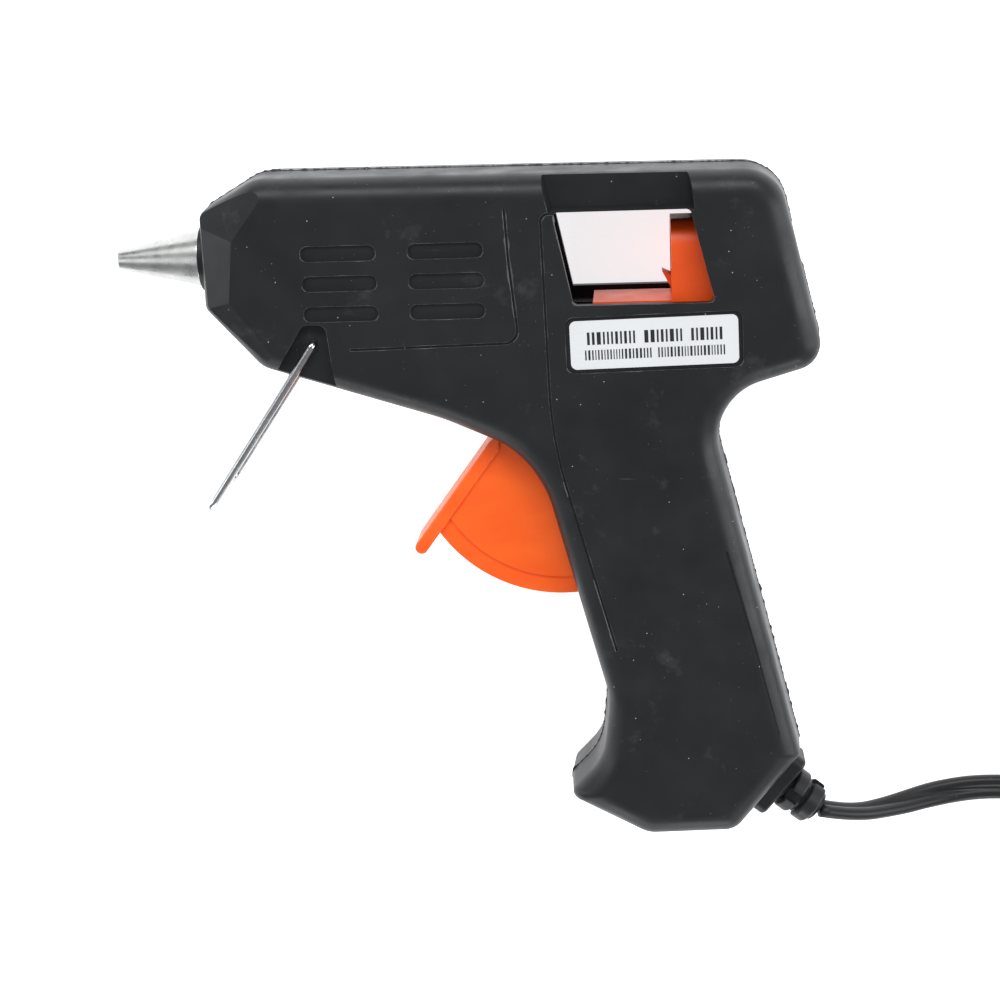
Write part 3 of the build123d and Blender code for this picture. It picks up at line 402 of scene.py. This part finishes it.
# ---- moulding flash along the parting line -------------------------------------------------------
PART_Z = 13.0 * MM
FLASH_STEP = 0.35 * MM                         # spacing of its sections
FLASH_HALF_T = 0.10                            # mm
shell = bmesh.new()
shell.from_mesh(nodes["left_shell"].data)
tree = BVHTree.FromBMesh(shell)
rim_edges = []
for edge in shell.edges:
    if all(abs(v.co.z - PART_Z) < 2e-6 for v in edge.verts) and edge.calc_length() > 1e-5:
        walls = [f for f in edge.link_faces if abs(f.normal.z) < 0.3]
        if walls:
            outward = walls[0].normal
            outward = Vector((outward.x, outward.y, 0)).normalized()
            middle = (edge.verts[0].co + edge.verts[1].co) / 2
            start = middle + Vector((0, 0, 0.6 * MM)) + outward * 0.05 * MM
            if tree.ray_cast(start, outward, 0.12)[0] is None:      # nothing of the shell outside it
                rim_edges.append((edge.verts[0].co.copy(), edge.verts[1].co.copy(), outward))
verts, faces = [], []
for a, b, outward in rim_edges:
    pieces = max(1, round((b - a).length / FLASH_STEP))
    for k in range(pieces + 1):
        place = a.lerp(b, k / pieces)
        broad = max(0.0, noise.noise(place * 900))
        fine = max(0.0, noise.noise(place * 2600 + Vector((5, 0, 0))))
        rise = 0.10 + 0.34 * broad + 0.25 * fine
        lean = 0.10 * noise.noise(place * 1500)
        base = len(verts)
        inner = place - outward * 0.3 * MM
        shoulder = place + outward * rise * 0.7 * MM
        verts += [
            inner + Vector((0, 0, 0.16 * MM)), shoulder + Vector((0, 0, (FLASH_HALF_T + lean) * MM)),
            place + outward * rise * MM + Vector((0, 0, lean * MM)),
            shoulder + Vector((0, 0, (-FLASH_HALF_T + lean) * MM)), inner - Vector((0, 0, 0.16 * MM)),
        ]
        if k:
            faces += [(base + i, base + i + 1, base - 5 + i + 1, base - 5 + i) for i in range(4)]
flash = add_mesh("parting_flash", verts, faces, body_black)
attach(flash, "casing")

# ---- wear and painted highlight on the sharp lips of the side face's steps and slots -------------
LIP_STEP = 0.4 * MM                            # spacing of the wear's sections
PANEL_STEP_X, PANEL_STEP_Y = (8.2, 10.4), (40.0, 61.0)     # mm, the panel's back step, whose lip gets the widest lighter strip: wear and painted highlight
bmesh.ops.remove_doubles(shell, verts=shell.verts[:], dist=1e-7)
face_z = max(v.co.z for v in shell.verts)
verts, faces = [], []
for edge in shell.edges:
    if len(edge.link_faces) != 2 or any(abs(v.co.z - face_z) > 2e-5 for v in edge.verts):
        continue
    wall, flat_face = sorted(edge.link_faces, key=lambda f: f.normal.z)
    if wall.normal.z > 0.6 or flat_face.normal.z < 0.99:
        continue
    outward = Vector((wall.normal.x, wall.normal.y, 0)).normalized()
    a, b = edge.verts[0].co, edge.verts[1].co
    pieces = max(1, round((b - a).length / LIP_STEP))
    for k in range(pieces + 1):
        place = a.lerp(b, k / pieces)
        broad = max(0.0, noise.noise(place * 260))
        fine = max(0.0, noise.noise(place * 1400))
        # width of the lighter strip, which is part wear and part painted highlight
        width = 0.03 + 0.16 * broad + 0.10 * fine
        if (PANEL_STEP_X[0] < place.x / MM < PANEL_STEP_X[1]
                and PANEL_STEP_Y[0] < place.y / MM < PANEL_STEP_Y[1]):
            width += 0.13 + 0.18 * noise.noise(place * 700)
        elif outward.y > 0.25 and abs(outward.x) > 0.55:       # lower corners of the slots: a wider painted glint
            width += 0.16
        base = len(verts)
        verts += [
            place - outward * width * MM + Vector((0, 0, 0.003 * MM)),
            place + Vector((0, 0, 0.008 * MM)),
            place + outward * 0.008 * MM - Vector((0, 0, (0.02 + width * 0.4) * MM)),
        ]
        if k:
            faces += [(base + i, base + i + 1, base - 3 + i + 1, base - 3 + i) for i in range(2)]
shell.free()
lips = add_mesh("lip_wear_and_painted_highlight", verts, faces, lip_wear_and_highlight)
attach(lips, "casing")

# ---- floor and light -----------------------------------------------------------------------------
floor = add_mesh(
    "floor", [(-3, -3, -0.0002), (3, -3, -0.0002), (3, 3, -0.0002), (-3, 3, -0.0002)], [(0, 1, 2, 3)],
    plain("pale_floor", (0.90, 0.90, 0.90), 0.6, 60.0, 0.00001, spread=0.01), smooth=False,
)
floor_shader = floor.data.materials[0].node_tree.nodes["Principled BSDF"]
floor_shader.inputs["Emission Color"].default_value = (0.97, 0.98, 1.0, 1)
floor_shader.inputs["Emission Strength"].default_value = 0.8


def soft_box(name, place, size, power, aim=(0.0, 0.0, 0.0)):
    light = bpy.data.lights.new(name, "AREA")
    light.shape = "RECTANGLE"
    light.size, light.size_y = size
    light.energy = power
    lamp = bpy.data.objects.new(name, light)
    bpy.context.collection.objects.link(lamp)
    lamp.location = place
    lamp.rotation_euler = (Vector(aim) - Vector(place)).to_track_quat("-Z", "Y").to_euler()


soft_box("box_top", (-0.05, 0.62, 0.55), (0.9, 0.25), 5.0)
soft_box("box_right", (0.9, 0.0, 0.36), (0.4, 1.0), 6.0)
soft_box("box_left", (-0.9, 0.0, 0.36), (0.4, 1.0), 3.2)
soft_box("box_bottom", (0.0, -0.9, 0.36), (1.0, 0.4), 5.0)
world = bpy.data.worlds.new("world")
bpy.context.scene.world = world
world.use_nodes = True
world.node_tree.nodes["Background"].inputs["Color"].default_value = (0.9, 0.95, 1.0, 1)
world.node_tree.nodes["Background"].inputs["Strength"].default_value = 0.3
bpy.context.scene.view_settings.view_transform = "Standard"
